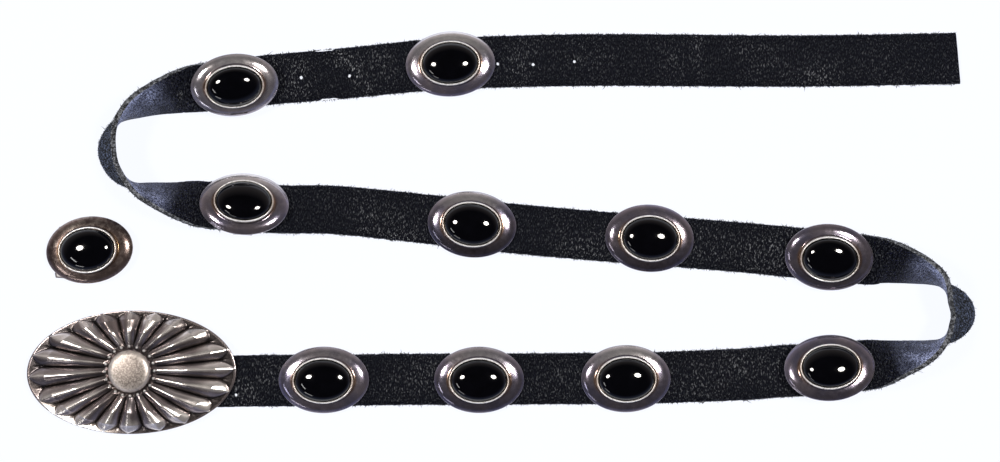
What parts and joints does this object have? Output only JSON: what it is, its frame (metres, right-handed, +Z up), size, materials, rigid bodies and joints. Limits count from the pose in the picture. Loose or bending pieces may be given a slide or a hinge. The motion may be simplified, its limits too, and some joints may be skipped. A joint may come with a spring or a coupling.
{
  "type": "concho belt",
  "caption": "Leather belt laid in flat bends, with oval domed silver plates set with black cabochons, a fluted oval buckle plate, and one plate taken off beside it.",
  "frame": {"origin": "middle of the laid belt's footprint, on the surface it lies on", "axes": "+X along the straight runs towards the strap's free end, +Y towards the run with the free end, +Z up"},
  "size_m": [0.4086, 0.1732, 0.0224],
  "materials": {
    "leather": "matte black grain",
    "silver": "tarnished silver with brighter raised edges",
    "onyx": "polished black"
  },
  "bodies": {
    "root": {"strap": "leather", "buckle": "silver", "concho_01": "silver", "stone_01": "onyx", "concho_02": "silver", "stone_02": "onyx", "concho_03": "silver", "stone_03": "onyx", "concho_04": "silver", "stone_04": "onyx", "concho_05": "silver", "stone_05": "onyx", "concho_06": "silver", "stone_06": "onyx", "concho_07": "silver", "stone_07": "onyx", "concho_08": "silver", "stone_08": "onyx", "concho_09": "silver", "stone_09": "onyx", "concho_10": "silver", "stone_10": "onyx", "concho_11_loose": "silver", "stone_11_loose": "onyx"}
  },
  "joints": []
}
